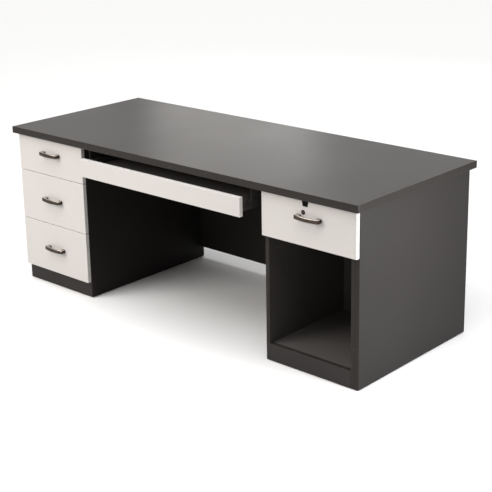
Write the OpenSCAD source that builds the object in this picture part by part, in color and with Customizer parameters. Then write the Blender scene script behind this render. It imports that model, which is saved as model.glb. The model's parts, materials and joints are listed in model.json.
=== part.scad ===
// Double-pedestal computer desk with a pull-out keyboard tray.
// Millimetres, +Z up, +X to the user's right, +Y away from the user.
// The origin is on the floor, under the centre of the desk's outer box.

/* [Desk] */
// Width of the desktop
desk_w = 2000; // [1700:10:2200]
// Depth of the desktop
desk_d = 800; // [760:10:900]
// Height of the desktop above the floor
desk_h = 750; // [720:5:780]
// Thickness of the desktop board
top_t = 30; // [22:1:36]
// Thickness of the edge bands round the desktop
band_t = 2; // [1:0.5:3]
// How far the desktop stands out past each pedestal
side_overhang = 20; // [10:1:40]
// How far the desktop stands out in front of the carcass
front_overhang = 40; // [34:1:50]
// How far the desktop stands out behind the carcass
rear_overhang = 20; // [0:1:40]

/* [Pedestals] */
// Thickness of the carcass boards
panel_t = 19; // [16:1:22]
// Clear width inside each pedestal
inner_w = 402; // [340:1:450]
// Height of the plinth boards and of the pedestal floors
plinth_h = 75; // [60:1:100]
// Depth of the open computer bay
bay_d = 480; // [470:5:520]
// Thickness of the pedestal backs and of the bay's back
back_t = 9; // [6:1:12]
// Depth of the flat rails that carry the desktop
rail_w = 90; // [70:1:120]
// Gap between the floor and the modesty panel
modesty_gap = 60; // [40:1:200]
// Height of the glides under the pedestals
glide_h = 3; // [2:1:4]

/* [Drawers] */
// Thickness of the drawer fronts and of the tray front
front_t = 18; // [16:1:20]
// Height of the top left drawer front
small_front_h = 170; // [170:1:190]
// Height of the right drawer front
right_front_h = 184; // [180:1:200]
// Gap between drawer fronts
front_gap = 3; // [2:0.5:4]
// Gap round the drawer fronts and behind them
reveal = 2; // [1.5:0.5:3]
// Thickness of the drawer box boards
box_t = 15; // [12:1:16]
// Length of the drawer boxes
box_l = 460; // [455:1:462]
// Length of the ball-bearing drawer slides
slide_l = 450; // [430:5:450]

/* [Handles] */
// Distance between the handle's two posts
handle_pitch = 96; // [96:32:160]
// How far the handle stands out from the drawer front
handle_reach = 30; // [26:1:34]
// How far the handles sit to the right of each front's centre
handle_offset = 8; // [0:1:12]
// How far the handles sit below the top edge of the two low fronts
low_front_drop = 68; // [60:1:90]
// How far the handles sit below the top edge of the two tall fronts
tall_front_drop = 113; // [80:1:130]

/* [Keyboard tray] */
// Gap between each end of the tray's front board and the pedestal beside it
tray_side_gap = 62.5; // [40:0.5:150]
// Height of the tray's front board
tray_front_h = 80; // [75:1:90]
// Gap between the desktop and the tray's front board
tray_gap = 33; // [30:1:45]
// How far the tray stands pulled out in this pose
tray_out = 58; // [0:1:120]
// Length of the tray's side boards
tray_l = 380; // [360:5:420]
// Length of the tray's slides
tray_slide_l = 350; // [300:10:350]

/* [Lock] */
// Radius of the lock's barrel
barrel_r = 8; // [7:0.5:9]
// Radius of the turning plug
plug_r = 5.5; // [4.5:0.25:6]
// How far the lock sits to the left of the front's centre
lock_offset = 21; // [0:1:30]
// How far the lock sits below the front's top edge
lock_drop = 50; // [50:1:60]

/* [Hidden] */

// Colours
charcoal = [0.24, 0.235, 0.235];
dark_board = [0.15, 0.15, 0.15];
off_white = [0.93, 0.91, 0.89];
box_grey = [0.78, 0.76, 0.73];
zinc = [0.70, 0.71, 0.72];
gunmetal = [0.32, 0.29, 0.27];
black = [0.05, 0.05, 0.05];

// Smoothness of round features
$fn = 48;

// Gaps between loose pieces, round the screws and bolts, and round the lock's plug
slack = 0.3;
grip_gap = 0.05;
running_gap = 0.08;

// How far a cut runs past the face that it opens
past = 1;

// Depths, measured from the carcass front plane, which is at Y = front_y
tray_front_y = -reveal - front_t - tray_out;
handle_front_y = -reveal - front_t - handle_reach;
foremost_y = min(tray_front_y, handle_front_y, -front_overhang);
rear_y = desk_d - front_overhang;
carcass_d = rear_y - rear_overhang;
front_y = -(foremost_y + rear_y) / 2;

// Heights
under_top = desk_h - top_t;
floor_t = panel_t;

// Pedestal faces along X
left_x0 = -desk_w / 2 + side_overhang;
left_x1 = left_x0 + inner_w + 2 * panel_t;
right_x1 = desk_w / 2 - side_overhang;
right_x0 = right_x1 - inner_w - 3 * panel_t;
knee_w = right_x0 - left_x1;
knee_x = (right_x0 + left_x1) / 2;
left_in_x = left_x0 + panel_t;
right_in_x = right_x0 + panel_t;

// Drawer fronts, in the order left top, left middle, left bottom, right
big_front_h = (under_top - plinth_h - 2 * reveal - small_front_h - 2 * front_gap) / 2;
bottom_front_z = plinth_h + reveal;
middle_front_z = bottom_front_z + big_front_h + front_gap;
top_front_z = middle_front_z + big_front_h + front_gap;
right_front_z = under_top - reveal - right_front_h;
front_z = [top_front_z, middle_front_z, bottom_front_z, right_front_z];
front_h = [small_front_h, big_front_h, big_front_h, right_front_h];
handle_drop = [low_front_drop, tall_front_drop, tall_front_drop, low_front_drop];

// Drawer boxes
box_lift = 22;
box_h = [115, 160, 160, 105];
bottom_t = 5;
groove_d = 6;
groove_z = 12;
box_in_x = [left_in_x, left_in_x, left_in_x, right_in_x];

// Full-width fronts: each front covers its pedestal's front edges
front_x0 = [left_x0, left_x0, left_x0, right_x0];
front_x1 = [left_x1, left_x1, left_x1, right_x1];

// Slides: height and thickness of a three-part slide, and the gauge of its steel
slide_h = 45;
slide_t = 12.7;
tray_slide_h = 35;
tray_slide_t = 10;
gauge = 1.2;
slide_set_back = 4;

// The slide's nested members: the first two members' gaps to the slide's faces,
// the depth of the moving member, and the step in height from one to the next
cabinet_gap = 3;
middle_near_gap = 2.4;
middle_far_gap = 2.2;
moving_d = 5;
member_step = 4;

// Tray box: its sides hang behind the front board, and the keyboard's board sits in them
tray_w = knee_w - 2 * tray_side_gap;
tray_x0 = knee_x - tray_w / 2;
tray_z0 = under_top - tray_gap - tray_front_h;
tray_inset = 4;
tray_side_lift = 18;
tray_side_h = 50;
tray_side_z = tray_z0 + tray_side_lift;
tray_board_t = 15;
tray_board_lift = 10;
tray_board_z = tray_side_z + tray_board_lift;
tray_half = tray_w / 2 - tray_inset;
tray_back_y = tray_front_y + front_t + tray_l;
tray_slide_z = tray_side_z + tray_side_h / 2;

// Steel hangers that carry the tray's slides
hanger_t = 2;
hanger_flange = 28;
hanger_lead = 18;
hanger_lift = 5;
hanger_x = tray_half + tray_slide_t;
hanger_screw_in = 18;
hanger_screw_ys = [20, 150, 290];

// Cam fittings
cam_r = 7.5;
cam_depth = 12.5;
cam_inset = 34;
bolt_r = 3.3;
bolt_tip_r = 2.5;
bolt_tip_l = 11;

// Screws that hold the desktop and the tray's hangers
screw_r = 2;
screw_l = 30;
screw_bite = 14;
screw_head_r = 4;
screw_head_h = 2;

// Handle bar
bar_h = 17;
bar_t = 9;
post_w = 20;
post_h = 16;
bow_rise = 8;
bar_edge_r = 2.5;
post_edge_r = 2;
post_sunk = 6;

// Lock
lock_x = (right_x0 + right_x1) / 2 - lock_offset;
lock_z = right_front_z + right_front_h - lock_drop;
lock_face_r = 9;
lock_face_t = 1.5;
barrel_past = 3;
plug_sunk = 0.5;
cam_arm_l = 28;
cam_arm_w = 10;
cam_arm_t = 2.5;
cam_arm_y = 7;

// Board between two corners, in the frame whose Y starts at the carcass front
module board(low, high) {
    translate([low[0], front_y + low[1], low[2]])
        cube([high[0] - low[0], high[1] - low[1], high[2] - low[2]]);
}

// Moves children to X, Y and Z, with Y counted from the carcass front
module place(x, y, z) {
    translate([x, front_y + y, z])
        children();
}

// Cylinder along X, starting at the origin and running towards sign
module rod_x(r, l, sign = 1) {
    rotate([0, 90 * sign, 0])
        cylinder(r = r, h = l);
}

// Cylinder along Y that starts at the origin and runs away from the user
module rod_y(r, l) {
    rotate([-90, 0, 0])
        cylinder(r = r, h = l);
}

// Rounded rectangle made of true arcs, centred
module soft_rectangle(w, h, r) {
    square([w - 2 * r, h], center = true);
    square([w, h - 2 * r], center = true);
    for (sx = [-1, 1])
        for (sy = [-1, 1])
            translate([sx * (w / 2 - r), sy * (h / 2 - r)])
                circle(r = r);
}

// ---- Cam fittings: [end X of the board, direction into the board, Y, low Z of the board]
rail_z = under_top - panel_t;
rail_ys = [0, carcass_d - back_t - rail_w];
floor_z = plinth_h - floor_t;
floor_cam_near = 80;
floor_cam_far = 60;
left_floor_ys = [floor_cam_near, carcass_d - back_t - floor_cam_far];
right_floor_ys = [floor_cam_near, bay_d - floor_cam_far];
cam_rows = concat(
    [for (y = left_floor_ys) each pair_of_cams(left_in_x, y, floor_z)],
    [for (y = right_floor_ys) each pair_of_cams(right_in_x, y, floor_z)],
    [for (x = [left_in_x, right_in_x]) for (y = rail_ys) each pair_of_cams(x, y + rail_w / 2, rail_z)]
);
function pair_of_cams(x0, y, z) = [[x0, 1, y, z], [x0 + inner_w, -1, y, z]];

// The bores for every cam and bolt, taken out of whichever board is a child
module with_cam_bores() {
    difference() {
        children();
        for (c = cam_rows) {
            place(c[0] + c[1] * cam_inset, c[2], c[3] - past)
                cylinder(r = cam_r + slack / 2, h = cam_depth + past + slack);
            place(c[0] - c[1] * (bolt_tip_l + slack), c[2], c[3] + panel_t / 2)
                rod_x(bolt_tip_r + grip_gap, bolt_tip_l + slack, c[1]);
            place(c[0], c[2], c[3] + panel_t / 2)
                rod_x(bolt_r + slack, cam_inset, c[1]);
        }
    }
}

// One cam with its cross slot, and the bolt that it draws in
module cam_fitting(c) {
    slot_w = 1.6;
    slot_depth = 2;
    place(c[0] + c[1] * cam_inset, c[2], c[3])
        difference() {
            cylinder(r = cam_r, h = cam_depth);
            for (a = [0, 90])
                rotate([0, 0, a])
                    translate([-cam_r / 2, -slot_w / 2, -past])
                        cube([cam_r, slot_w, slot_depth + past]);
        }
    place(c[0] - c[1] * bolt_tip_l, c[2], c[3] + panel_t / 2)
        rod_x(bolt_tip_r, bolt_tip_l, c[1]);
    place(c[0], c[2], c[3] + panel_t / 2)
        rod_x(bolt_r, cam_inset - cam_r - slack, c[1]);
}

// ---- Screws up into the desktop: [X, Y, Z of the face that the head sits in]
rail_screws = [
    for (x0 = [left_in_x, right_in_x])
        for (y = rail_ys)
            for (f = [1 / 4, 3 / 4])
                [x0 + f * inner_w, y + rail_w / 2, rail_z]
];
hanger_screws = [
    for (side = [-1, 1])
        for (y = hanger_screw_ys)
            [knee_x + side * (hanger_x + hanger_screw_in), y, under_top - hanger_t]
];

// Countersunk hole for one of these screws, through a board t thick
module screw_hole(p, t) {
    place(p[0], p[1], p[2]) {
        translate([0, 0, -past])
            cylinder(r = screw_r + slack, h = t + 2 * past);
        cylinder(r1 = screw_head_r + slack, r2 = screw_r + slack, h = screw_head_h);
    }
}

module screw(p, l) {
    place(p[0], p[1], p[2]) {
        cylinder(r = screw_r, h = l);
        cylinder(r1 = screw_head_r, r2 = screw_r, h = screw_head_h);
    }
}

// ---- Desktop
module desktop() {
    color(charcoal)
        difference() {
            board([-desk_w / 2 + band_t, -front_overhang + band_t, under_top],
                  [desk_w / 2 - band_t, rear_y - band_t, desk_h]);
            for (p = concat(rail_screws, hanger_screws))
                place(p[0], p[1], under_top - past)
                    cylinder(r = screw_r + grip_gap, h = screw_bite + past);
        }
}

// Four bands; the end bands stop a hair short of the long ones
module desktop_edge_bands() {
    y0 = -front_overhang + band_t + grip_gap;
    y1 = rear_y - band_t - grip_gap;
    color(charcoal) {
        for (y = [-front_overhang, rear_y - band_t])
            board([-desk_w / 2, y, under_top], [desk_w / 2, y + band_t, desk_h]);
        for (x = [-desk_w / 2, desk_w / 2 - band_t])
            board([x, y0, under_top], [x + band_t, y1, desk_h]);
    }
}

// ---- Side panels. The plinth laps over the front of the sides that it covers.
module side_panel(x, lapped) {
    color(charcoal)
        with_cam_bores()
            difference() {
                board([x, 0, glide_h], [x + panel_t, carcass_d, under_top]);
                if (lapped)
                    board([x - past, -past, 0], [x + panel_t + past, panel_t, plinth_h]);
            }
}

module left_pedestal_outer_side() { side_panel(left_x0, true); }
module left_pedestal_inner_side() { side_panel(left_x1 - panel_t, true); }
module right_pedestal_inner_side() { side_panel(right_x0, true); }
module right_pedestal_side_liner() { side_panel(right_x1 - 2 * panel_t, false); }
module right_pedestal_outer_side() { side_panel(right_x1 - panel_t, false); }

// ---- Other carcass boards
module pedestal_back(x) {
    color(dark_board)
        board([x, carcass_d - back_t, glide_h], [x + inner_w, carcass_d, under_top]);
}

module left_pedestal_back() { pedestal_back(left_in_x); }
module right_pedestal_back() { pedestal_back(right_in_x); }

module left_pedestal_bottom() {
    color(charcoal)
        with_cam_bores()
            board([left_in_x, panel_t, floor_z],
                  [left_in_x + inner_w, carcass_d - back_t, plinth_h]);
}

module computer_bay_floor() {
    color(charcoal)
        with_cam_bores()
            board([right_in_x, panel_t, floor_z], [right_in_x + inner_w, bay_d, plinth_h]);
}

module computer_bay_back() {
    color(charcoal)
        board([right_in_x, bay_d, glide_h], [right_in_x + inner_w, bay_d + back_t, under_top]);
}

module left_pedestal_plinth() {
    color(charcoal)
        board([left_x0, 0, glide_h], [left_x1, panel_t, plinth_h]);
}

module right_pedestal_plinth() {
    color(charcoal)
        board([right_x0, 0, glide_h], [right_in_x + inner_w, panel_t, plinth_h]);
}

module top_rails() {
    color(charcoal)
        with_cam_bores()
            difference() {
                for (x = [left_in_x, right_in_x])
                    for (y = rail_ys)
                        board([x, y, rail_z], [x + inner_w, y + rail_w, under_top]);
                for (p = rail_screws)
                    screw_hole(p, panel_t);
            }
}

module modesty_panel() {
    inset = 5;
    color(charcoal)
        board([left_x1, carcass_d - panel_t - inset, modesty_gap],
              [right_x0, carcass_d - inset, under_top]);
}

module floor_glides() {
    glide_r = 8;
    glide_in = 50;
    xs = [left_x0 + panel_t / 2, left_x1 - panel_t / 2, right_x0 + panel_t / 2, right_x1 - panel_t];
    color(black)
        for (x = xs)
            for (y = [glide_in, carcass_d - glide_in])
                place(x, y, 0)
                    cylinder(r = glide_r, h = glide_h);
}

module cam_fittings() {
    color(zinc)
        for (c = cam_rows)
            cam_fitting(c);
}

module top_screws() {
    color(zinc) {
        for (p = rail_screws)
            screw(p, screw_l);
        for (p = hanger_screws)
            screw(p, screw_bite);
    }
}

// ---- Three-part slides. Each member is a channel along Y, drawn from its
// mounting face at X = 0 towards +X. It fills x0 to x1, half is half its height,
// and its web is on the near side if near is true, or else on the far side.
module channel(x0, x1, half, l, near) {
    web_x = near ? x0 : x1 - gauge;
    translate([web_x, 0, -half])
        cube([gauge, l, 2 * half]);
    for (z = [-half, half - gauge])
        translate([x0, 0, z])
            cube([x1 - x0, l, gauge]);
}

module cabinet_member(h, t, l) {
    channel(0, t - cabinet_gap, h / 2, l, true);
}

module middle_member(h, t, l) {
    channel(middle_near_gap, t - middle_far_gap, h / 2 - member_step, l, true);
}

module moving_member(h, t, l) {
    channel(t - moving_d, t, h / 2 - 2 * member_step, l, false);
}

// One piece on each side of a drawer or tray: left one as drawn, right one mirrored
module both_sides(x0, w, y, z) {
    place(x0, y, z)
        children();
    place(x0 + w, y, z)
        mirror([1, 0, 0])
            children();
}

function drawer_slide_z(i) = front_z[i] + box_lift + box_h[i] / 2;

module drawer_slide_cabinet_members() {
    color(zinc)
        for (i = [0 : 3])
            both_sides(box_in_x[i], inner_w, slide_set_back, drawer_slide_z(i))
                cabinet_member(slide_h, slide_t, slide_l);
}

module slide_middle(i) {
    color(zinc)
        both_sides(box_in_x[i], inner_w, slide_set_back, drawer_slide_z(i))
            middle_member(slide_h, slide_t, slide_l);
}

module slide_moving(i) {
    color(zinc)
        both_sides(box_in_x[i], inner_w, slide_set_back, drawer_slide_z(i))
            moving_member(slide_h, slide_t, slide_l);
}

// ---- Drawers
module drawer_front(i) {
    color(off_white)
        board([front_x0[i], -reveal - front_t, front_z[i]],
              [front_x1[i], -reveal, front_z[i] + front_h[i]]);
}

module drawer_sides(i) {
    z0 = front_z[i] + box_lift;
    color(box_grey)
        both_sides(box_in_x[i] + slide_t, inner_w - 2 * slide_t, -reveal, z0)
            difference() {
                cube([box_t, box_l, box_h[i]]);
                translate([box_t - groove_d, -past, groove_z])
                    cube([groove_d + past, box_l + 2 * past, bottom_t + slack]);
            }
}

module drawer_back(i) {
    z0 = front_z[i] + box_lift;
    x0 = box_in_x[i] + slide_t + box_t;
    color(box_grey)
        board([x0, -reveal + box_l - box_t, z0 + groove_z + bottom_t + slack],
              [x0 + inner_w - 2 * (slide_t + box_t), -reveal + box_l, z0 + box_h[i]]);
}

module drawer_bottom(i) {
    z0 = front_z[i] + box_lift + groove_z;
    x0 = box_in_x[i] + slide_t + box_t - groove_d + slack;
    x1 = box_in_x[i] + inner_w - slide_t - box_t + groove_d - slack;
    color(box_grey)
        board([x0, -reveal, z0], [x1, -reveal + box_l, z0 + bottom_t]);
}

// Bow handle: a bar bent on an arc between two square posts
module handle(i) {
    x = (front_x0[i] + front_x1[i]) / 2 + handle_offset;
    z = front_z[i] + front_h[i] - handle_drop[i];
    arc_r = (pow(handle_pitch / 2, 2) + pow(bow_rise, 2)) / (2 * bow_rise);
    arc_a = 2 * asin((handle_pitch / 2 + post_w / 2) / arc_r);
    color(gunmetal)
        place(x, -reveal - front_t, z) {
            translate([0, arc_r - handle_reach + bar_t / 2, 0])
                rotate([0, 0, -90 - arc_a / 2])
                    rotate_extrude(angle = arc_a, $fn = 96)
                        translate([arc_r, 0])
                            soft_rectangle(bar_t, bar_h, bar_edge_r);
            for (side = [-1, 1])
                translate([side * handle_pitch / 2, 0, 0])
                    rotate([90, 0, 0])
                        linear_extrude(handle_reach - bow_rise - post_sunk)
                            soft_rectangle(post_w, post_h, post_edge_r);
        }
}

module left_top_drawer_front() { drawer_front(0); }
module left_top_drawer_sides() { drawer_sides(0); }
module left_top_drawer_back() { drawer_back(0); }
module left_top_drawer_bottom() { drawer_bottom(0); }
module left_top_drawer_handle() { handle(0); }
module left_top_drawer_slide_members() { slide_moving(0); }
module left_top_slide_middle_members() { slide_middle(0); }

module left_middle_drawer_front() { drawer_front(1); }
module left_middle_drawer_sides() { drawer_sides(1); }
module left_middle_drawer_back() { drawer_back(1); }
module left_middle_drawer_bottom() { drawer_bottom(1); }
module left_middle_drawer_handle() { handle(1); }
module left_middle_drawer_slide_members() { slide_moving(1); }
module left_middle_slide_middle_members() { slide_middle(1); }

module left_bottom_drawer_front() { drawer_front(2); }
module left_bottom_drawer_sides() { drawer_sides(2); }
module left_bottom_drawer_back() { drawer_back(2); }
module left_bottom_drawer_bottom() { drawer_bottom(2); }
module left_bottom_drawer_handle() { handle(2); }
module left_bottom_drawer_slide_members() { slide_moving(2); }
module left_bottom_slide_middle_members() { slide_middle(2); }

module right_drawer_front() {
    difference() {
        drawer_front(3);
        place(lock_x, -reveal - front_t - past, lock_z)
            rod_y(barrel_r + slack, front_t + 2 * past);
    }
}
module right_drawer_sides() { drawer_sides(3); }
module right_drawer_back() { drawer_back(3); }
module right_drawer_bottom() { drawer_bottom(3); }
module right_drawer_handle() { handle(3); }
module right_drawer_slide_members() { slide_moving(3); }
module right_slide_middle_members() { slide_middle(3); }

// ---- Lock on the right drawer front
module lock_housing() {
    barrel_l = lock_face_t + front_t + reveal + barrel_past;
    color(gunmetal)
        place(lock_x, -reveal - front_t - lock_face_t, lock_z)
            difference() {
                union() {
                    rod_y(lock_face_r, lock_face_t);
                    rod_y(barrel_r, barrel_l);
                }
                translate([0, -past, 0])
                    rod_y(plug_r + running_gap, barrel_l + 2 * past);
            }
}

// Plug with its key slot and the arm that turns behind the strike.
// The arm points left while the drawer is unlocked.
module lock_plug() {
    face_y = -reveal - front_t - lock_face_t + plug_sunk;
    slot_w = 2;
    slot_h = 7;
    slot_depth = 8;
    color(zinc)
        place(lock_x, 0, lock_z) {
            difference() {
                translate([0, face_y, 0])
                    rod_y(plug_r, cam_arm_y - face_y);
                translate([-slot_w / 2, face_y - past, -slot_h / 2])
                    cube([slot_w, slot_depth + past, slot_h]);
            }
            translate([0, cam_arm_y, 0])
                rod_y(cam_arm_w / 2, cam_arm_t);
            translate([-cam_arm_l, cam_arm_y, -cam_arm_w / 2])
                cube([cam_arm_l, cam_arm_t, cam_arm_w]);
        }
}

// Small angle under the front rail that the lock's arm turns up behind
module lock_strike() {
    leg_t = 1.5;
    leg_h = 16;
    strike_w = 40;
    strike_d = 24;
    strike_y = 3;
    x0 = lock_x - strike_w / 2;
    x1 = lock_x + strike_w / 2;
    color(zinc) {
        board([x0, strike_y, rail_z - leg_h], [x1, strike_y + leg_t, rail_z]);
        board([x0, strike_y, rail_z - leg_t], [x1, strike_y + strike_d, rail_z]);
    }
}

// Tapered plastic plate on the drawer front, above the lock
module lock_guard_plate() {
    top_w = 30;
    bottom_w = 20;
    plate_h = 24;
    plate_t = 3;
    shift = 10;
    top_z = right_front_z + right_front_h - 1;
    color(black)
        place(lock_x + shift, -reveal - front_t, top_z)
            rotate([90, 0, 0])
                linear_extrude(plate_t)
                    polygon([[-top_w / 2, 0], [-bottom_w / 2, -plate_h],
                             [bottom_w / 2, -plate_h], [top_w / 2, 0]]);
}

// ---- Keyboard tray
module tray_front() {
    color(off_white)
        board([tray_x0, tray_front_y, tray_z0],
              [tray_x0 + tray_w, tray_front_y + front_t, tray_z0 + tray_front_h]);
}

module tray_sides() {
    color(charcoal)
        both_sides(knee_x - tray_half, 2 * tray_half, tray_front_y + front_t, tray_side_z)
            cube([box_t, tray_l, tray_side_h]);
}

module tray_board() {
    half = tray_half - box_t;
    color(charcoal)
        board([knee_x - half, tray_front_y + front_t, tray_board_z],
              [knee_x + half, tray_back_y - box_t, tray_board_z + tray_board_t]);
}

module tray_back() {
    half = tray_half - box_t;
    color(charcoal)
        board([knee_x - half, tray_back_y - box_t, tray_side_z],
              [knee_x + half, tray_back_y, tray_side_z + tray_side_h]);
}

// The slides' fixed ends hang from the desktop on two folded steel hangers
module tray_hangers() {
    hanger_l = tray_slide_l + hanger_lead;
    hanger_z = tray_side_z + hanger_lift;
    color(black)
        difference() {
            both_sides(knee_x - hanger_x, 2 * hanger_x, -hanger_lead, 0) {
                translate([-hanger_t, 0, hanger_z])
                    cube([hanger_t, hanger_l, under_top - hanger_z]);
                translate([-hanger_flange, 0, under_top - hanger_t])
                    cube([hanger_flange, hanger_l, hanger_t]);
            }
            for (p = hanger_screws)
                screw_hole(p, hanger_t);
        }
}

module tray_slides(y) {
    color(black)
        both_sides(knee_x - hanger_x, 2 * hanger_x, y, tray_slide_z)
            children();
}

module tray_slide_cabinet_members() {
    tray_slides(0)
        cabinet_member(tray_slide_h, tray_slide_t, tray_slide_l);
}

module tray_slide_middle_members() {
    tray_slides(-tray_out / 2)
        middle_member(tray_slide_h, tray_slide_t, tray_slide_l);
}

module tray_slide_tray_members() {
    tray_slides(-tray_out)
        moving_member(tray_slide_h, tray_slide_t, tray_slide_l);
}

desktop();
desktop_edge_bands();
left_pedestal_outer_side();
left_pedestal_inner_side();
left_pedestal_back();
left_pedestal_bottom();
left_pedestal_plinth();
right_pedestal_inner_side();
right_pedestal_outer_side();
right_pedestal_side_liner();
right_pedestal_back();
right_pedestal_plinth();
computer_bay_back();
computer_bay_floor();
top_rails();
modesty_panel();
floor_glides();
cam_fittings();
top_screws();
drawer_slide_cabinet_members();
tray_slide_cabinet_members();
tray_hangers();
lock_strike();
tray_front();
tray_board();
tray_sides();
tray_back();
tray_slide_tray_members();
tray_slide_middle_members();
left_top_drawer_front();
left_top_drawer_sides();
left_top_drawer_back();
left_top_drawer_bottom();
left_top_drawer_handle();
left_top_drawer_slide_members();
left_top_slide_middle_members();
left_middle_drawer_front();
left_middle_drawer_sides();
left_middle_drawer_back();
left_middle_drawer_bottom();
left_middle_drawer_handle();
left_middle_drawer_slide_members();
left_middle_slide_middle_members();
left_bottom_drawer_front();
left_bottom_drawer_sides();
left_bottom_drawer_back();
left_bottom_drawer_bottom();
left_bottom_drawer_handle();
left_bottom_drawer_slide_members();
left_bottom_slide_middle_members();
right_drawer_front();
right_drawer_sides();
right_drawer_back();
right_drawer_bottom();
right_drawer_handle();
right_drawer_slide_members();
right_slide_middle_members();
lock_housing();
lock_plug();
lock_guard_plate();
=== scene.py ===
import json
import math

import bmesh
import bpy
from mathutils import Matrix, Vector


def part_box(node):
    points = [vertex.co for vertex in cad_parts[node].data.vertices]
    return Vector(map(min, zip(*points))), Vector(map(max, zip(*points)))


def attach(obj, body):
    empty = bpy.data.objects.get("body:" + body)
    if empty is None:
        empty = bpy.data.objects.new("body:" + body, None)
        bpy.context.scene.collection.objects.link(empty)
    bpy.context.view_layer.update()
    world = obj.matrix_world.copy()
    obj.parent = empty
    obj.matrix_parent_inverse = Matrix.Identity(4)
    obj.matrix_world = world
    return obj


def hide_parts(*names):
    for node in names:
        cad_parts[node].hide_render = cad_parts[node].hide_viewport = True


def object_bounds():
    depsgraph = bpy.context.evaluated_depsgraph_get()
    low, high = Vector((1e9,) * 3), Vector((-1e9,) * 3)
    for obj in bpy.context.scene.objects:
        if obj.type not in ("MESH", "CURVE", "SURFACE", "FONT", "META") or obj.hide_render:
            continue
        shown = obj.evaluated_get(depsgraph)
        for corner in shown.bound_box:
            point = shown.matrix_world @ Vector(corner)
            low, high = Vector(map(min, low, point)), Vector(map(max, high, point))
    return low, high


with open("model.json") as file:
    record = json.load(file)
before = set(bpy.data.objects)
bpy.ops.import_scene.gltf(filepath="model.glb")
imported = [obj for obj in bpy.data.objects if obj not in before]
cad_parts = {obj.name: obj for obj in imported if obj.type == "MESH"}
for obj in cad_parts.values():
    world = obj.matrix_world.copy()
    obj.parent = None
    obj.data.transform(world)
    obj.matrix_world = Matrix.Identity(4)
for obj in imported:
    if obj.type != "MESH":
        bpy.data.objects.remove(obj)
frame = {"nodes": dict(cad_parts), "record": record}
cad_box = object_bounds()

# Double-pedestal computer desk with a pull-out keyboard tray: finishes, edges, hardware, light
# and camera. Metres, in the frame of the CAD model: +X right, +Y away from the user, +Z up.

MM = 0.001
RECORD = frame["record"]
BODY_OF = {node: body for body, nodes in RECORD["behaviour"]["bodies"].items() for node in nodes}

# Drawers by name, in the order left top, left middle, left bottom, right
DRAWERS = ["left_top", "left_middle", "left_bottom", "right"]

# Edges that are this long are eased: on boards, and on the slides' steel
BOARD_EDGE = 12 * MM
STEEL_EDGE = 100 * MM

# Handles: width of a foot, thickness of the bar at its middle and near its feet, how far the
# bar bows out, the radius of its softened edges, and how far up a face must point to take a
# painted highlight
HANDLE_POST = 20 * MM
HANDLE_BAR = 9 * MM
HANDLE_BAR_END = 8.1 * MM
BOW_RISE = 8 * MM
HANDLE_EDGE = 2.4 * MM
HIGHLIGHT_SLOPE = 0.45

# Gap between a slide's mounting face and its middle member
MIDDLE_MEMBER_GAP = 2.4 * MM


# ---- Node trees of the materials

def new_material(name, base, roughness, metallic=0.0):
    """A material with its shader's constant values set. Returns the material, tree and shader."""
    made = bpy.data.materials.new(name)
    made.use_nodes = True
    tree = made.node_tree
    shader = tree.nodes["Principled BSDF"]
    shader.inputs["Base Color"].default_value = (*base, 1.0)
    shader.inputs["Roughness"].default_value = roughness
    shader.inputs["Metallic"].default_value = metallic
    made.diffuse_color = (*base, 1.0)
    return made, tree, shader


def noise(tree, per_metre, detail=2.0, stretch=(1, 1, 1), rough=0.5):
    """Noise in the object's own coordinates, with about per_metre grains to the metre."""
    coords = tree.nodes.new("ShaderNodeTexCoord")
    mapping = tree.nodes.new("ShaderNodeMapping")
    mapping.inputs["Scale"].default_value = stretch
    texture = tree.nodes.new("ShaderNodeTexNoise")
    texture.inputs["Scale"].default_value = per_metre
    texture.inputs["Detail"].default_value = detail
    texture.inputs["Roughness"].default_value = rough
    tree.links.new(coords.outputs["Object"], mapping.inputs["Vector"])
    tree.links.new(mapping.outputs["Vector"], texture.inputs["Vector"])
    return texture.outputs["Fac"]


def ramp(tree, source, stops):
    """A colour ramp over a grey source; stops are (position, colour)."""
    node = tree.nodes.new("ShaderNodeValToRGB")
    elements = node.color_ramp.elements
    while len(elements) < len(stops):
        elements.new(0.5)
    for element, (position, colour) in zip(elements, stops):
        element.position = position
        element.color = (*colour, 1.0)
    tree.links.new(source, node.inputs["Fac"])
    return node.outputs["Color"]


def spread(tree, source, low, high):
    """A grey source, stretched from its usual 0.3 to 0.7 to run from low to high."""
    node = tree.nodes.new("ShaderNodeMapRange")
    node.inputs["From Min"].default_value = 0.3
    node.inputs["From Max"].default_value = 0.7
    node.inputs["To Min"].default_value = low
    node.inputs["To Max"].default_value = high
    tree.links.new(source, node.inputs["Value"])
    return node.outputs["Result"]


def bump(tree, shader, height, depth, strength=1.0):
    """Surface relief of a height source; depth is in metres."""
    node = tree.nodes.new("ShaderNodeBump")
    node.inputs["Strength"].default_value = strength
    node.inputs["Distance"].default_value = depth
    tree.links.new(height, node.inputs["Height"])
    tree.links.new(node.outputs["Normal"], shader.inputs["Normal"])


def shade(colour, factor):
    """A colour made lighter or darker by a factor."""
    return tuple(channel * factor for channel in colour)


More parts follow.
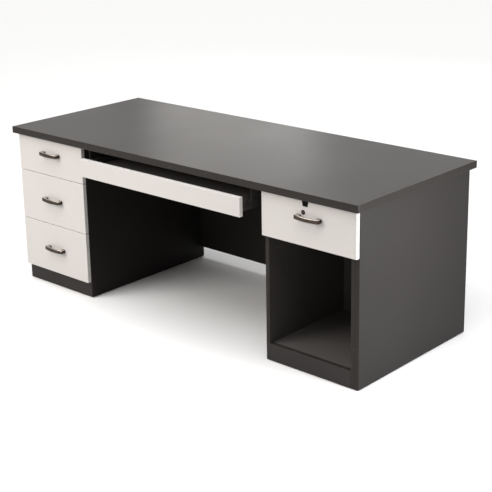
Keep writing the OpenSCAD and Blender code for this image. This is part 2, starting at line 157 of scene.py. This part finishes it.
def melamine(name, base, roughness, mottle=0.05, pearl=900.0, pearl_depth=0.00004, gloss=0.5):
    """Melamine-faced board: a fine pearl texture, faint cloudiness and slightly uneven sheen."""
    made, tree, shader = new_material(name, base, roughness)
    shader.inputs["Specular IOR Level"].default_value = gloss
    clouds = noise(tree, 3.0, detail=5.0, rough=0.55)
    dots = noise(tree, 1400.0, detail=1.0)
    dots_share = 0.45
    mixed = tree.nodes.new("ShaderNodeMath")
    mixed.operation = "MULTIPLY_ADD"
    mixed.inputs[1].default_value = dots_share
    tree.links.new(dots, mixed.inputs[0])
    tree.links.new(clouds, mixed.inputs[2])
    tone = ramp(tree, mixed.outputs[0], [
        (0.45, shade(base, 1 - mottle)),
        (0.72, base),
        (0.98, shade(base, 1 + mottle)),
    ])
    tree.links.new(tone, shader.inputs["Base Color"])
    sheen = noise(tree, 2.5, detail=5.0)
    tree.links.new(spread(tree, sheen, roughness * 0.96, roughness * 1.04), shader.inputs["Roughness"])
    bump(tree, shader, noise(tree, pearl, detail=2.0), pearl_depth, 0.5)
    return made


def edging(name, base, roughness, worn, gloss=0.5):
    """Plastic edge band: a fine grain, and paler spots where it has been knocked."""
    made, tree, shader = new_material(name, base, roughness)
    shader.inputs["Specular IOR Level"].default_value = gloss
    knocks = noise(tree, 60.0, detail=5.0, rough=0.7)
    tone = ramp(tree, knocks, [
        (0.30, shade(base, 0.93)),
        (0.60, base),
        (0.74, worn),
    ])
    tree.links.new(tone, shader.inputs["Base Color"])
    sheen = noise(tree, 40.0, detail=3.0)
    tree.links.new(spread(tree, sheen, roughness * 0.85, roughness * 1.2), shader.inputs["Roughness"])
    bump(tree, shader, noise(tree, 1600.0, detail=2.0), 0.00003, 0.5)
    return made


def plated_metal(name, base, roughness, patina, stretch=(1, 1, 1), patina_scale=120.0):
    """Plated metal with a fine brushed grain and a darker patina in patches."""
    made, tree, shader = new_material(name, base, roughness, metallic=1.0)
    stains = noise(tree, patina_scale, detail=5.0, rough=0.65)
    tone = ramp(tree, stains, [(0.34, patina), (0.56, base), (0.78, shade(base, 1.15))])
    tree.links.new(tone, shader.inputs["Base Color"])
    grain = noise(tree, 900.0, detail=2.0, stretch=stretch)
    tree.links.new(spread(tree, grain, roughness * 0.88, roughness * 1.14), shader.inputs["Roughness"])
    bump(tree, shader, grain, 0.000005, 0.5)
    return made


def coated(name, base, roughness, grain=700.0, depth=0.00006, gloss=0.5):
    """Powder coat or moulded plastic: fine grain all over."""
    made, tree, shader = new_material(name, base, roughness)
    shader.inputs["Specular IOR Level"].default_value = gloss
    tone = noise(tree, 40.0, detail=4.0)
    colour = ramp(tree, tone, [(0.3, shade(base, 0.8)), (0.7, shade(base, 1.25))])
    tree.links.new(colour, shader.inputs["Base Color"])
    bump(tree, shader, noise(tree, grain, detail=2.0), depth, 0.6)
    return made


# Colours, and how strongly the dark boards and bands reflect
CHARCOAL = (0.0310, 0.0284, 0.0274)
BAND_TONE = (0.0275, 0.0243, 0.0222)
CHARCOAL_WORN = (0.075, 0.069, 0.065)
# The desktop's top: the charcoal painted lighter, as painted light on the top surface
TOP_TONE_PAINTED_LIGHT = (0.075, 0.0722, 0.0695)
BOARD_GLOSS = 0.22
BAND_GLOSS = 0.18
TOP_GLOSS = 0.3
WHITE = (0.645, 0.62, 0.6)
# The white fronts' edge band, painted paler than their faces as a painted highlight along the edges
WHITE_EDGE_PAINTED_HIGHLIGHT = (0.74, 0.72, 0.70)
BOX_TONE = (0.50, 0.475, 0.44)

# Stretch of a brushed grain that runs along the handles, and along the slides
ALONG_HANDLE = (0.06, 1, 1)
ALONG_SLIDE = (1, 0.03, 1)

MATERIALS = {
    "desktop": melamine("desktop_melamine_painted_light", TOP_TONE_PAINTED_LIGHT, 0.38, mottle=0.03, gloss=TOP_GLOSS),
    "desktop_band": edging("desktop_banding", BAND_TONE, 0.34, CHARCOAL_WORN, BOARD_GLOSS),
    "charcoal": melamine("charcoal_melamine", CHARCOAL, 0.44, gloss=BOARD_GLOSS),
    "charcoal_band": edging("charcoal_banding", BAND_TONE, 0.4, CHARCOAL_WORN, BAND_GLOSS),
    # Lighter copies of the charcoal board, as painted light on boards under the desktop and inside the
    # computer bay
    "shelf": melamine("shelf_melamine_painted_light", shade(CHARCOAL, 1.9), 0.4, gloss=TOP_GLOSS),
    "tray": melamine("tray_melamine_painted_light", shade(CHARCOAL, 3.4), 0.4, gloss=TOP_GLOSS),
    "bay": melamine("bay_melamine_painted_light", shade(CHARCOAL, 2.6), 0.4, gloss=TOP_GLOSS),
    # A darker copy of the charcoal board, as painted shade in the knee space
    "knee": melamine("knee_melamine_painted_shade", shade(CHARCOAL, 0.65), 0.46, gloss=BAND_GLOSS),
    "back": melamine("back_board_paint", shade(CHARCOAL, 0.8), 0.6, mottle=0.16, pearl=400.0),
    "white": melamine("white_melamine", WHITE, 0.38, mottle=0.018),
    "white_band": edging("white_banding_painted_highlight", WHITE_EDGE_PAINTED_HIGHLIGHT, 0.28, shade(WHITE_EDGE_PAINTED_HIGHLIGHT, 0.93)),
    "box": melamine("drawer_box_melamine", BOX_TONE, 0.5, mottle=0.05, pearl=500.0),
    "box_band": edging("drawer_box_banding", shade(BOX_TONE, 1.08), 0.4, shade(BOX_TONE, 0.85)),
    # Handle nickel: a dark copy with painted shade for the front and underside faces, and a pale copy
    # as a painted highlight for the upper faces
    "handle": plated_metal(
        "antique_nickel_painted_shade", (0.105, 0.085, 0.073), 0.22, (0.05, 0.038, 0.032), ALONG_HANDLE,
    ),
    "handle_painted_highlight": plated_metal(
        "nickel_painted_highlight", (0.60, 0.55, 0.50), 0.22, (0.47, 0.42, 0.38), ALONG_HANDLE,
    ),
    "lock": plated_metal("black_nickel", (0.02, 0.018, 0.017), 0.28, (0.01, 0.009, 0.008)),
    "plug": plated_metal("dark_nickel", (0.07, 0.065, 0.06), 0.25, (0.03, 0.028, 0.026)),
    "zinc": plated_metal(
        "zinc_plate", (0.60, 0.61, 0.63), 0.4, (0.53, 0.535, 0.55), ALONG_SLIDE, patina_scale=45.0,
    ),
    "ball": plated_metal("ball_steel", (0.72, 0.72, 0.73), 0.12, (0.6, 0.6, 0.6)),
    "black_paint": coated("black_powder_coat", (0.04, 0.038, 0.036), 0.42),
    "black_plastic": coated(
        "black_moulded_plastic", (0.0035, 0.0035, 0.0035), 0.6, grain=500.0, gloss=0.06,
    ),
}


# ---- Helpers for pieces

def add_piece(name, bm, body, materials, nodes=()):
    """Turns a bmesh into a visible piece that rides on a body and may stand for CAD nodes."""
    mesh = bpy.data.meshes.new(name)
    bm.to_mesh(mesh)
    bm.free()
    for key in materials:
        mesh.materials.append(MATERIALS[key])
    piece = bpy.data.objects.new(name, mesh)
    bpy.context.scene.collection.objects.link(piece)
    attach(piece, body)
    if nodes:
        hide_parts(*nodes)


def cad_shape(node):
    """A bmesh of a CAD node, with shared corners merged and each flat face whole."""
    bm = bmesh.new()
    bm.from_mesh(frame["nodes"][node].data)
    bmesh.ops.remove_doubles(bm, verts=bm.verts, dist=0.01 * MM)
    bmesh.ops.dissolve_limit(bm, angle_limit=math.radians(1), verts=bm.verts, edges=bm.edges)
    return bm


def sharp_edges(bm, shortest):
    """Edges between flat faces that meet at a corner, if they are at least this long."""
    return [
        e for e in bm.edges
        if len(e.link_faces) == 2 and e.calc_length() >= shortest
        and e.calc_face_angle(0.0) > math.radians(30)
    ]


def round_edges(bm, edges, radius, segments=3):
    """Rounds edges; the new faces are smooth and take the second material."""
    bmesh.ops.bevel(
        bm, geom=edges, offset=radius, offset_type="OFFSET", segments=segments,
        profile=0.5, affect="EDGES", clamp_overlap=False, material=1,
    )
    bm.normal_update()
    for face in bm.faces:
        face.smooth = max(abs(c) for c in face.normal) < 0.9999


def thin_axis(bm):
    """The axis that most of the surface faces along."""
    area = [0.0, 0.0, 0.0]
    for face in bm.faces:
        for axis in range(3):
            area[axis] += abs(face.normal[axis]) * face.calc_area()
    return area.index(max(area))


def banded_board(node, face_key, band_key, radius=0.8 * MM):
    """A board from CAD with eased edges: its broad faces and its edge bands differ in finish."""
    bm = cad_shape(node)
    thin = thin_axis(bm)
    for face in bm.faces:
        face.material_index = 0 if abs(face.normal[thin]) > 0.5 else 1
    round_edges(bm, sharp_edges(bm, BOARD_EDGE), radius)
    add_piece(node + "_board", bm, BODY_OF[node], [face_key, band_key], [node])


# ---- Boards

def desktop_bands():
    """The four bands round the desktop, rounded along their outer edges."""
    node = "desktop_edge_bands"
    bm = cad_shape(node)
    low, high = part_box(node)

    def outer(edge):
        return any(
            all(abs(v.co[axis] - side[axis]) < 0.1 * MM for v in edge.verts)
            for axis in (0, 1)
            for side in (low, high)
        )

    edges = [e for e in sharp_edges(bm, BOARD_EDGE) if outer(e)]
    for face in bm.faces:
        face.material_index = 1
    round_edges(bm, edges, 1.4 * MM, segments=4)
    add_piece("desktop_banding", bm, "root", ["charcoal_band", "desktop_band"], [node])


def carcass():
    charcoal = [
        "left_pedestal_outer_side", "left_pedestal_bottom", "left_pedestal_plinth",
        "right_pedestal_outer_side", "right_pedestal_side_liner", "right_pedestal_plinth", "top_rails",
    ]
    for node in charcoal:
        banded_board(node, "charcoal", "charcoal_band")
    # The knee space's boards take the darker charcoal as painted shade
    for node in ("left_pedestal_inner_side", "modesty_panel"):
        banded_board(node, "knee", "charcoal_band")
    # The right pedestal's inner side and the bay's back and floor take lighter charcoal as painted
    # light
    banded_board("right_pedestal_inner_side", "shelf", "charcoal_band")
    for node in ("computer_bay_back", "computer_bay_floor"):
        banded_board(node, "bay", "charcoal_band")
    for node in ("left_pedestal_back", "right_pedestal_back"):
        banded_board(node, "back", "back", 0.4 * MM)


def drawer_fronts():
    for drawer in DRAWERS:
        node = drawer + "_drawer_front"
        banded_board(node, "white", "white_band", 1.0 * MM)
    banded_board("tray_front", "white", "white_band", 1.0 * MM)


def drawer_boxes():
    for drawer in DRAWERS:
        for part in ("sides", "back"):
            banded_board(f"{drawer}_drawer_{part}", "box", "box_band", 0.6 * MM)
        banded_board(f"{drawer}_drawer_bottom", "box", "box", 0.3 * MM)


def tray_box():
    # The tray's board, sides and back take lighter charcoal as painted light
    banded_board("tray_board", "tray", "charcoal_band", 0.6 * MM)
    for part in ("sides", "back"):
        banded_board(f"tray_{part}", "shelf", "charcoal_band", 0.6 * MM)


# ---- Handles

def arched(half, foot, crown, steps=24):
    """Points (x, depth) along a shallow arch from +half to -half: foot deep at its ends."""
    xs = [half - 2 * half * i / steps for i in range(steps + 1)]
    return [(x, foot + (crown - foot) * (1 - (x / half) ** 2)) for x in xs]


def bow_outline(width, reach):
    """The handle seen from above, as (x, depth) points: two square feet and an arched bar."""
    half = width / 2
    inner = half - HANDLE_POST
    front = arched(half, reach - BOW_RISE, reach)
    back = arched(inner, reach - BOW_RISE - HANDLE_BAR_END, reach - HANDLE_BAR)
    return [(half, 0.0)] + front + [(-half, 0.0), (-inner, 0.0)] + back[::-1] + [(inner, 0.0)]


def bow_handle(drawer):
    """Bow handle with softened edges: dark antique nickel with painted shade, and a painted highlight
    of paler nickel on its upper faces.
    """
    node = drawer + "_drawer_handle"
    low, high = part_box(node)
    face_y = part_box(drawer + "_drawer_front")[0].y
    middle = (low.x + high.x) / 2
    outline = bow_outline(high.x - low.x, face_y - low.y)
    bm = bmesh.new()
    base = bm.faces.new([bm.verts.new((middle + x, face_y - depth, low.z)) for x, depth in outline])
    grown = bmesh.ops.extrude_face_region(bm, geom=[base])
    top = [v for v in grown["geom"] if isinstance(v, bmesh.types.BMVert)]
    bmesh.ops.translate(bm, verts=top, vec=(0, 0, high.z - low.z))
    bmesh.ops.recalc_face_normals(bm, faces=bm.faces)
    seat = 0.1 * MM
    edges = [
        e for e in bm.edges
        if e.calc_face_angle(0.0) > math.radians(25)
        and not all(abs(v.co.y - face_y) < seat for v in e.verts)
    ]
    bmesh.ops.bevel(
        bm, geom=edges, offset=HANDLE_EDGE, offset_type="OFFSET", segments=5,
        profile=0.5, affect="EDGES", clamp_overlap=True,
    )
    bm.normal_update()
    # Upward faces take the pale nickel as a painted highlight, the rest take the dark nickel with
    # painted shade
    for face in bm.faces:
        face.smooth = True
        face.material_index = 1 if face.normal.z > HIGHLIGHT_SLOPE else 0
    add_piece(
        drawer + "_bow_handle", bm, BODY_OF[node], ["handle", "handle_painted_highlight"], [node],
    )


# ---- Slides

# Ball rows of a slide: distance from its mounting face, height off its middle, and whether
# the balls run inside the middle member (or else between it and the cabinet member)
DRAWER_BALLS = [(9.1 * MM, 15.9 * MM, True), (6.0 * MM, 19.9 * MM, False)]
TRAY_BALLS = [(6.6 * MM, 10.9 * MM, True), (4.5 * MM, 14.9 * MM, False)]
BALL_R = 1.3 * MM
BALL_PITCH = 12 * MM
BALL_ROW = 180 * MM
BALL_LEAD = 12 * MM


def eased_steel(node, key):
    """Folded steel from CAD with its long edges softened."""
    bm = cad_shape(node)
    round_edges(bm, sharp_edges(bm, STEEL_EDGE), 0.35 * MM, segments=2)
    add_piece(node + "_steel", bm, BODY_OF[node], [key, key], [node])


def ball_rows(name, middles, rows):
    """Balls of one pair of slides, at the front ends of their middle members."""
    low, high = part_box(middles)
    left_face = low.x - MIDDLE_MEMBER_GAP
    right_face = high.x + MIDDLE_MEMBER_GAP
    centre_z = (low.z + high.z) / 2
    for off, height, inside in rows:
        bm = bmesh.new()
        for x in (left_face + off, right_face - off):
            for z in (centre_z - height, centre_z + height):
                for i in range(int(BALL_ROW / BALL_PITCH)):
                    y = low.y + BALL_LEAD + i * BALL_PITCH
                    bmesh.ops.create_icosphere(
                        bm, subdivisions=2, radius=BALL_R, matrix=Matrix.Translation((x, y, z)),
                    )
        for face in bm.faces:
            face.smooth = True
        body = BODY_OF[middles] if inside else "root"
        row = "inner" if inside else "outer"
        add_piece(f"{name}_{row}_balls", bm, body, ["ball"])


def slides():
    for node in BODY_OF:
        if node.startswith("tray_slide"):
            eased_steel(node, "black_paint")
        elif "slide" in node:
            eased_steel(node, "zinc")
    for drawer in DRAWERS:
        ball_rows(drawer + "_slide", drawer + "_slide_middle_members", DRAWER_BALLS)
    ball_rows("tray_slide", "tray_slide_middle_members", TRAY_BALLS)


# ---- Nodes that keep their CAD shape

def finish_node(node, key):
    """Gives a CAD node that stays in view its material."""
    piece = frame["nodes"][node]
    piece.data.materials.clear()
    piece.data.materials.append(MATERIALS[key])


def kept_nodes():
    finish_node("desktop", "desktop")
    for node in ("cam_fittings", "top_screws", "lock_strike"):
        finish_node(node, "zinc")
    finish_node("lock_plug", "plug")
    finish_node("tray_hangers", "black_paint")
    finish_node("floor_glides", "black_plastic")
    finish_node("lock_housing", "lock")
    finish_node("lock_guard_plate", "black_plastic")


# ---- Stage, light and camera

# The floor's colour and the sky's strength: as the camera sees them, and as they light the desk
FLOOR_SEEN = (0.94, 0.94, 0.94)
FLOOR_BOUNCE = (0.52, 0.51, 0.50)
SKY_SEEN = 1.0
SKY_LIGHT = 0.15

# Half the floor's width, in metres
FLOOR_REACH = 40.0


def floor():
    """A plain pale floor that runs out of sight and lights the desk more dimly than it looks."""
    bm = bmesh.new()
    bmesh.ops.create_grid(bm, x_segments=1, y_segments=1, size=FLOOR_REACH)
    mesh = bpy.data.meshes.new("studio_floor")
    bm.to_mesh(mesh)
    bm.free()
    made, tree, shader = new_material("studio_floor", FLOOR_SEEN, 0.75)
    seen = tree.nodes.new("ShaderNodeLightPath")
    tone = ramp(tree, seen.outputs["Is Camera Ray"], [(0.0, FLOOR_BOUNCE), (1.0, FLOOR_SEEN)])
    tree.links.new(tone, shader.inputs["Base Color"])
    mesh.materials.append(made)
    piece = bpy.data.objects.new("studio_floor", mesh)
    piece.location.z = cad_box[0].z - 0.5 * MM
    bpy.context.scene.collection.objects.link(piece)


def soft_light(name, place, target, size, watts, colour):
    """A softbox at a place, facing a target."""
    data = bpy.data.lights.new(name, "AREA")
    data.shape = "RECTANGLE"
    data.size, data.size_y = size
    data.energy = watts
    data.color = colour
    lamp = bpy.data.objects.new(name, data)
    lamp.location = place
    aim = Vector(target) - Vector(place)
    lamp.rotation_euler = aim.to_track_quat("-Z", "Y").to_euler()
    lamp.visible_camera = False
    bpy.context.scene.collection.objects.link(lamp)


def far_light(name, azimuth, elevation, spread_angle, strength, colour=(1, 1, 1)):
    """A large far softbox. Azimuth 0 is in front of the desk and 90 on its right; in degrees."""
    data = bpy.data.lights.new(name, "SUN")
    data.angle = math.radians(spread_angle)
    data.energy = strength
    data.color = colour
    a, e = math.radians(azimuth), math.radians(elevation)
    source = Vector((math.sin(a) * math.cos(e), -math.cos(a) * math.cos(e), math.sin(e)))
    lamp = bpy.data.objects.new(name, data)
    lamp.rotation_euler = source.to_track_quat("Z", "Y").to_euler()
    bpy.context.scene.collection.objects.link(lamp)


def studio_sky():
    """A pale backdrop to look at, which lights the desk more dimly than it looks."""
    world = bpy.data.worlds.new("studio")
    world.use_nodes = True
    tree = world.node_tree
    background = tree.nodes["Background"]
    background.inputs["Color"].default_value = (1, 1, 1, 1)
    seen = tree.nodes.new("ShaderNodeLightPath")
    level = tree.nodes.new("ShaderNodeMapRange")
    level.inputs["To Min"].default_value = SKY_LIGHT
    level.inputs["To Max"].default_value = SKY_SEEN
    tree.links.new(seen.outputs["Is Camera Ray"], level.inputs["Value"])
    tree.links.new(level.outputs["Result"], background.inputs["Strength"])
    bpy.context.scene.world = world


# Softboxes: name, place, target, size, power and colour. The ones in front light the fronts, the
# one on the right is below the desktop's height, and the rear ones show as a glow on the desktop.
SOFTBOXES = [
    ("front_left_box", (-1.6, -3.4, 2.3), (-0.3, -0.4, 0.4), (2.4, 1.6), 74, (1, 0.965, 0.925)),
    ("front_right_box", (2.7, -3.2, 1.7), (0.75, 0, 0.3), (1.0, 1.0), 9, (1, 0.97, 0.94)),
    ("right_box", (1.85, -0.12, 0.64), (0.98, -0.16, 0.67), (0.4, 0.18), 15, (0.97, 0.97, 1)),
    ("rear_panel", (-1.8, 2.0, 1.45), (-0.1, 0.1, 0.75), (1.1, 0.5), 4.8, (1, 0.965, 0.935)),
    ("rear_left_panel", (-3.6, 2.0, 1.8), (-0.7, -0.3, 0.75), (1.0, 0.5), 2.2, (1, 0.965, 0.935)),
    ("rear_wash", (-1.5, 5.5, 2.4), (0, 0, 0.75), (5.0, 1.6), 20, (1, 1, 1)),
]


def studio():
    bpy.context.scene.view_settings.view_transform = "Standard"
    studio_sky()
    far_light("overhead", azimuth=20, elevation=80, spread_angle=60, strength=2.35)
    far_light(
        "key", azimuth=-35, elevation=42, spread_angle=40, strength=0.85, colour=(1, 0.965, 0.93),
    )
    for name, place, target, size, watts, colour in SOFTBOXES:
        soft_light(name, place, target, size, watts, colour)


def camera():
    """Three quarters from the right front, a little above the desktop."""
    place = Vector((3.486, -3.716, 2.035))
    yaw, pitch, roll = (math.radians(a) for a in (42.22, -16.25, -0.99))
    ahead = Vector((
        -math.sin(yaw) * math.cos(pitch),
        math.cos(yaw) * math.cos(pitch),
        math.sin(pitch),
    ))
    right = Vector((math.cos(yaw), math.sin(yaw), 0))
    up = right.cross(ahead)
    right, up = (
        right * math.cos(roll) + up * math.sin(roll),
        up * math.cos(roll) - right * math.sin(roll),
    )
    data = bpy.data.cameras.new("camera")
    data.lens = 88.6
    data.shift_y = -0.12
    piece = bpy.data.objects.new("camera", data)
    turn = Matrix((right, up, -ahead)).transposed().to_4x4()
    piece.matrix_world = Matrix.Translation(place) @ turn
    bpy.context.scene.collection.objects.link(piece)
    bpy.context.scene.camera = piece


camera()
studio()
floor()
carcass()
desktop_bands()
drawer_fronts()
drawer_boxes()
tray_box()
for drawer in DRAWERS:
    bow_handle(drawer)
slides()
kept_nodes()
